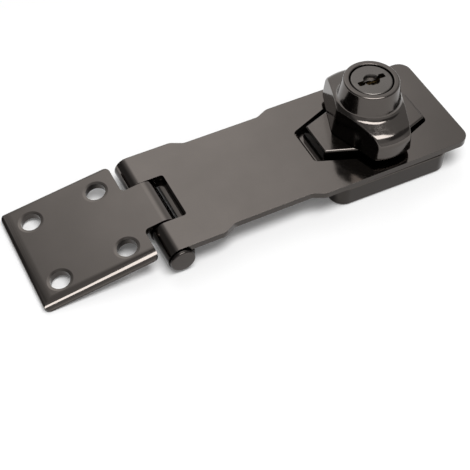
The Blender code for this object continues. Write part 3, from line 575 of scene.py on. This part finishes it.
knob = turned("winged_knob", outer + inner, KNOB_STEPS)
for vertex in knob.data.vertices:
    x, y, z = vertex.co
    radius = math.hypot(x, y)
    if z > KNOB_BOTTOM - 0.01 * MM and radius > PLUG_BORE + 0.3 * MM:
        angle = math.atan2(y, x)
        new = blunt_min(radius, flank_radius(angle, z), EDGE_ROUND)
        vertex.co.x, vertex.co.y = new * math.cos(angle), new * math.sin(angle)
cut(knob, box("wafer_channel", (-WAFER_REACH, -WAFER_HALF, WAFERS_LOW), (0, WAFER_HALF, WAFERS_TOP)))
cut(knob, box("wafer_channel", (-WAFER_HALF, -WAFER_REACH, WAFERS_LOW), (WAFER_HALF, 0, WAFERS_TOP)))
cut(knob, box("bolt_window", (BOLT_ROOM / 2, -BOLT_HALF, BOLT_LOW), (SPINDLE_BORE, BOLT_HALF, BOLT_HIGH)))
stop_top = KNOB_BOTTOM + 0.5 * MM
join(knob, box("stop", (-8.7 * MM, -0.6 * MM, 9.05 * MM), (-7.5 * MM, 0.6 * MM, stop_top)))
clean(knob)
polish(knob)
dress(knob, "knob", "black_nickel", "knob")

# %% [markdown]
# ## The lock plug
# The plug sits a hair below the ring, with a thin dark gap round it. The keyway runs into it from
# a round recess in its face, with wards on each side. Five slots cross it for the wafers, each
# with a pocket for a spring. Its tail ends in a crank pin for the bolt.

# %% Model the lock plug
PLUG, PLUG_TOP, PLUG_LOW = 5.6 * MM, 25.05 * MM, 12.3 * MM
TAIL, TAIL_LOW = 2.6 * MM, 9.1 * MM
CLIP_GROOVE, CLIP_LOW = 2 * MM, 9.7 * MM
CRANK_PIN, CRANK = 0.75 * MM, 1.0607 * MM
WAFER_HEIGHTS = (22.85 * MM, 20.55 * MM, 18.25 * MM, 15.95 * MM, 13.65 * MM)
SLOT_HALF = 0.8 * MM
WARD, SLIT = 1 * MM, 0.55 * MM     # half width of the keyway between its wards and at them
KEYWAY_END, KEYWAY_LOW = 4.05 * MM, 12.9 * MM

plug_profile = rounded([(0, TAIL_LOW, 0), (TAIL, TAIL_LOW, 0), (TAIL, CLIP_LOW, 0),
                        (CLIP_GROOVE, CLIP_LOW, 0), (CLIP_GROOVE, WEB_LOW, 0),
                        (TAIL, WEB_LOW, 0), (TAIL, PLUG_LOW, 0), (PLUG, PLUG_LOW, 0),
                        (PLUG, PLUG_TOP, 0.4 * MM), (0, PLUG_TOP, 0)])
plug = turned("lock_plug_face", plug_profile, 96)
crank_profile = [(0, 7.1 * MM), (CRANK_PIN, 7.1 * MM), (CRANK_PIN, 9.4 * MM), (0, 9.4 * MM)]
join(plug, turned("crank_pin", crank_profile, 32, (-CRANK, -CRANK)))
for wafer in WAFER_HEIGHTS:
    slot_low, slot_top = wafer - SLOT_HALF, wafer + SLOT_HALF
    cut(plug, box("wafer_slot", (-7 * MM, -WAFER_HALF, slot_low), (7 * MM, WAFER_HALF, slot_top)))
    cut(plug, box("spring_pocket", (-1.8 * MM, 2.6 * MM, slot_low), (3 * MM, 4.2 * MM, slot_top)))
one_side = [(KEYWAY_END, -SLIT, 0.3 * MM), (KEYWAY_END, WARD, 0.4 * MM), (2.6 * MM, WARD, 0.2 * MM),
             (2.2 * MM, SLIT, 0.2 * MM), (0.4 * MM, SLIT, 0.2 * MM), (0, WARD, 0.2 * MM),
             (-1.6 * MM, WARD, 0.2 * MM), (-2 * MM, SLIT, 0.2 * MM)]
keyway = one_side + [(-x, -y, radius) for x, y, radius in one_side]
recess = [(0, PLUG_TOP - 1.1 * MM), (1.95 * MM, PLUG_TOP - 1.1 * MM), (2.1 * MM, PLUG_TOP - 0.12 * MM),
          (2.22 * MM, PLUG_TOP), (2.4 * MM, PLUG_TOP + 0.2 * MM), (0, PLUG_TOP + 0.2 * MM)]
cut(plug, turned("recess", recess, 64))
cut(plug, slab("keyway", rounded(keyway, 4), KEYWAY_LOW, PLUG_TOP + MM))
clean(plug)
polish(plug)
dress(plug, "plug", "satin_nickel", "lock_plug")

# %% [markdown]
# ## Finishes
# Black nickel is a thin dark plating on polished metal. It reflects about an eighth of the
# light, slightly warm, and picks up faint haze and grain. The plug has a satin cut. Springs and
# pressed pieces are plain bright steel, the wafers are brass. Upright faces get a darker tint,
# a painted shade for the dark surroundings they would mirror, and so do the plate's low faces.
# The hinge pin is a darker copy of the black nickel, a painted shade for the shaded paper its
# head mirrors.

# %% Make the metals
def metal(name, tint, dark_tint, roughness, haze, grain_size, grain_depth, upright=1.0, inside=0.0):
    """Metal with slight changes of tone, hazy patches and fine grain.

    Upright faces are tinted darker by the factor upright, a painted shade for the dark
    surroundings they would mirror. Faces lower than the height called inside get a darker tint
    too, a painted shade for the dark surroundings low under a piece. Both are painted shade,
    not another metal.
    """
    material = bpy.data.materials.new(name)
    material.use_nodes = True
    nodes, links = material.node_tree.nodes, material.node_tree.links
    shader = nodes["Principled BSDF"]
    shader.inputs["Metallic"].default_value = 1
    place = nodes.new("ShaderNodeTexCoord")

    cloud = nodes.new("ShaderNodeTexNoise")
    cloud.inputs["Scale"].default_value = 70
    cloud.inputs["Detail"].default_value = 4
    links.new(place.outputs["Object"], cloud.inputs["Vector"])
    tones = nodes.new("ShaderNodeValToRGB")
    tones.color_ramp.elements[0].position = 0.3
    tones.color_ramp.elements[0].color = (*dark_tint, 1)
    tones.color_ramp.elements[1].position = 0.7
    tones.color_ramp.elements[1].color = (*tint, 1)
    links.new(cloud.outputs["Fac"], tones.inputs["Fac"])
    # Painted shade: upright faces are tinted darker by the factor upright.
    split = nodes.new("ShaderNodeSeparateXYZ")
    links.new(place.outputs["Normal"], split.inputs[0])
    facing = nodes.new("ShaderNodeMath")
    facing.operation = "ABSOLUTE"
    links.new(split.outputs["Z"], facing.inputs[0])
    upright_shade = nodes.new("ShaderNodeMapRange")
    upright_shade.inputs["From Min"].default_value = 0.2
    upright_shade.inputs["From Max"].default_value = 0.5
    upright_shade.inputs["To Min"].default_value = upright
    links.new(facing.outputs[0], upright_shade.inputs["Value"])
    shaded_colour = nodes.new("ShaderNodeVectorMath")
    shaded_colour.operation = "SCALE"
    links.new(tones.outputs["Color"], shaded_colour.inputs[0])
    # Painted shade: faces lower than the height inside are tinted down to 0.4 of their tone.
    depth = nodes.new("ShaderNodeSeparateXYZ")
    links.new(place.outputs["Object"], depth.inputs[0])
    outside = nodes.new("ShaderNodeMapRange")
    outside.inputs["From Min"].default_value = inside - 0.1 * MM
    outside.inputs["From Max"].default_value = inside
    outside.inputs["To Min"].default_value = 0.4
    links.new(depth.outputs["Z"], outside.inputs["Value"])
    both = nodes.new("ShaderNodeMath")
    both.operation = "MULTIPLY"
    links.new(upright_shade.outputs["Result"], both.inputs[0])
    links.new(outside.outputs["Result"], both.inputs[1])
    links.new(both.outputs[0], shaded_colour.inputs["Scale"])
    links.new(shaded_colour.outputs["Vector"], shader.inputs["Base Color"])

    grain = nodes.new("ShaderNodeTexNoise")
    grain.inputs["Scale"].default_value = 1 / grain_size
    grain.inputs["Detail"].default_value = 6
    links.new(place.outputs["Object"], grain.inputs["Vector"])
    gloss = nodes.new("ShaderNodeMapRange")
    gloss.inputs["From Min"].default_value = 0.35
    gloss.inputs["From Max"].default_value = 0.75
    gloss.inputs["To Min"].default_value = roughness
    gloss.inputs["To Max"].default_value = roughness + haze
    links.new(grain.outputs["Fac"], gloss.inputs["Value"])
    links.new(gloss.outputs["Result"], shader.inputs["Roughness"])
    bump = nodes.new("ShaderNodeBump")
    bump.inputs["Strength"].default_value = 0.25
    bump.inputs["Distance"].default_value = grain_depth
    links.new(grain.outputs["Fac"], bump.inputs["Height"])
    links.new(bump.outputs["Normal"], shader.inputs["Normal"])
    return material


BLACK, BLACK_DARK = (0.14, 0.125, 0.115), (0.125, 0.112, 0.103)
FINE, COARSE, SHALLOW = 0.8 * MM, 1.2 * MM, 0.004 * MM
# Height below which the plate's faces take a painted shade.
PLATE_SHADE_HEIGHT = 5.6 * MM

# The number after the grain is each metal's painted shade on upright faces: the lower, the darker.
black_sheet = metal("black_nickel_sheet", BLACK, BLACK_DARK, 0.09, 0.06, FINE, SHALLOW, 0.5)
black_plate = metal("black_nickel_plate", BLACK, BLACK_DARK, 0.09, 0.06, FINE, SHALLOW, 0.5, PLATE_SHADE_HEIGHT)
black_knob = metal("black_nickel_knob", BLACK, BLACK_DARK, 0.1, 0.08, COARSE, SHALLOW, 0.7)
black_base = metal("black_nickel_base", BLACK, BLACK_DARK, 0.12, 0.1, COARSE, SHALLOW, 0.35)
# Painted shade: the pin is a darker copy of the black nickel, for the shaded paper that its head mirrors.
shaded_black_pin = metal("black_nickel_pin_painted_shade", (0.08, 0.072, 0.066), (0.065, 0.058, 0.054), 0.15, 0.1, COARSE, SHALLOW)
satin = metal("satin_plug", (0.165, 0.152, 0.142), (0.145, 0.134, 0.125), 0.26, 0.08, 0.25 * MM, 0.01 * MM)
steel = metal("pressed_steel", (0.52, 0.51, 0.5), (0.44, 0.43, 0.42), 0.25, 0.15, 0.4 * MM, 0.01 * MM)
brass = metal("wafer_brass", (0.72, 0.55, 0.25), (0.6, 0.44, 0.18), 0.25, 0.15, 0.4 * MM, 0.01 * MM)

for piece, finish in ((plate, black_plate), (leaf, black_sheet), (pin, shaded_black_pin), (base, black_base),
                      (knob, black_knob), (plug, satin)):
    piece.data.materials.clear()
    piece.data.materials.append(finish)
for node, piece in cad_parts.items():
    if not piece.hide_render:
        finish = brass if node.startswith("wafer") and "spring" not in node else steel
        for material_slot in piece.material_slots:
            material_slot.material = finish
print("finishes:", [m.name for m in bpy.data.materials])

# %% [markdown]
# ## The floor and the lamp
# The lock lies on white paper, which keeps its soft shadow. One oblong panel hangs almost
# straight above it, a little to the near side. It lights the paper, and the metal shows it
# only where an edge rolls over: along the leaf's near edge, round the ring and at the cone's foot.

# %% Lay the floor and hang the lamp
def panel(name, azimuth, elevation, distance, width, height, power):
    """Area lamp on a sphere round the lock, facing it."""
    a, e = math.radians(azimuth), math.radians(elevation)
    place = Vector((math.cos(a) * math.cos(e), math.sin(a) * math.cos(e), math.sin(e))) * distance
    bpy.ops.object.light_add(type="AREA", location=place,
                             rotation=(-place).to_track_quat("-Z", "Y").to_euler())
    lamp = bpy.context.object
    lamp.name = name
    lamp.data.shape = "RECTANGLE"
    lamp.data.size, lamp.data.size_y = width, height
    lamp.data.energy = power
    return lamp


bpy.ops.object.select_all(action="DESELECT")
bpy.ops.mesh.primitive_plane_add(size=6, location=(0, 0, -0.02 * MM))
floor = bpy.context.object
floor.name = "paper_floor"
paper = bpy.data.materials.new("white_paper")
paper.use_nodes = True
paper_shader = paper.node_tree.nodes["Principled BSDF"]
paper_shader.inputs["Base Color"].default_value = (0.93, 0.93, 0.93, 1)
paper_shader.inputs["Roughness"].default_value = 0.9
paper_shader.inputs["Specular IOR Level"].default_value = 0.0
paper_shader.inputs["Emission Color"].default_value = (1, 1, 1, 1)
paper_shader.inputs["Emission Strength"].default_value = 0.06
floor.data.materials.append(paper)

panel("key_panel", 283, 76, 0.7, 0.56, 0.32, 3.7)

# %% [markdown]
# ## The room
# Polished metal shows the room round it. A plain sky gives every face the same grey, so the sky
# gets a few soft zones. The brightest lies beyond the lock, as a lit white wall would. Two more
# are a little lighter than the sky, and three are darker. Each zone is a window in azimuth and
# elevation with soft edges.

# %% Paint the room's zones on the sky
SKY_LEVEL = 0.42
ZONES = [  # azimuth, half its width, elevation, half its height, soft edge (degrees), level
    (75, 22, 45, 20, 30, 1.45),
    (75, 40, 10, 20, 30, 0.8),
    (155, 34, 18, 40, 24, 0.1),
    (275, 40, 10, 16, 14, 0.6),
    (322, 32, 45, 14, 10, 0.12),
    (60, 50, 76, 8, 10, 0.25),
]

world = bpy.context.scene.world or bpy.data.worlds.new("room")
bpy.context.scene.world = world
world.use_nodes = True
sky_nodes, sky_links = world.node_tree.nodes, world.node_tree.links
background = sky_nodes["Background"]
background.inputs["Strength"].default_value = 1
direction = sky_nodes.new("ShaderNodeTexCoord").outputs["Generated"]


def sky_math(operation, *values):
    """Math node on numbers and outputs of other nodes."""
    node = sky_nodes.new("ShaderNodeMath")
    node.operation = operation
    for socket, value in zip(node.inputs, values):
        if isinstance(value, (int, float)):
            socket.default_value = value
        else:
            sky_links.new(value, socket)
    return node.outputs[0]


def within(value, half, soft):
    """1 where a value is nearer to zero than half, falling softly to 0."""
    step = sky_nodes.new("ShaderNodeMapRange")
    step.interpolation_type = "SMOOTHSTEP"
    step.inputs["From Min"].default_value = math.radians(half + soft / 2)
    step.inputs["From Max"].default_value = math.radians(half - soft / 2)
    sky_links.new(sky_math("ABSOLUTE", value), step.inputs["Value"])
    return step.outputs["Result"]


split = sky_nodes.new("ShaderNodeSeparateXYZ")
sky_links.new(direction, split.inputs[0])
height = sky_math("ARCSINE", split.outputs["Z"])
level = SKY_LEVEL
for azimuth, half_width, elevation, half_height, soft, brightness in ZONES:
    turn = sky_nodes.new("ShaderNodeVectorRotate")
    turn.rotation_type = "Z_AXIS"
    turn.inputs["Angle"].default_value = -math.radians(azimuth)
    sky_links.new(direction, turn.inputs["Vector"])
    parts = sky_nodes.new("ShaderNodeSeparateXYZ")
    sky_links.new(turn.outputs[0], parts.inputs[0])
    across = sky_math("ARCTAN2", parts.outputs["Y"], parts.outputs["X"])
    above = sky_math("SUBTRACT", height, math.radians(elevation))
    mask = sky_math("MULTIPLY", within(across, half_width, soft), within(above, half_height, soft))
    mix = sky_nodes.new("ShaderNodeMix")
    sky_links.new(mask, mix.inputs["Factor"])
    if isinstance(level, float):
        mix.inputs["A"].default_value = level
    else:
        sky_links.new(level, mix.inputs["A"])
    mix.inputs["B"].default_value = brightness
    level = mix.outputs["Result"]
sky_links.new(level, background.inputs["Color"])
print("sky zones:", len(ZONES))
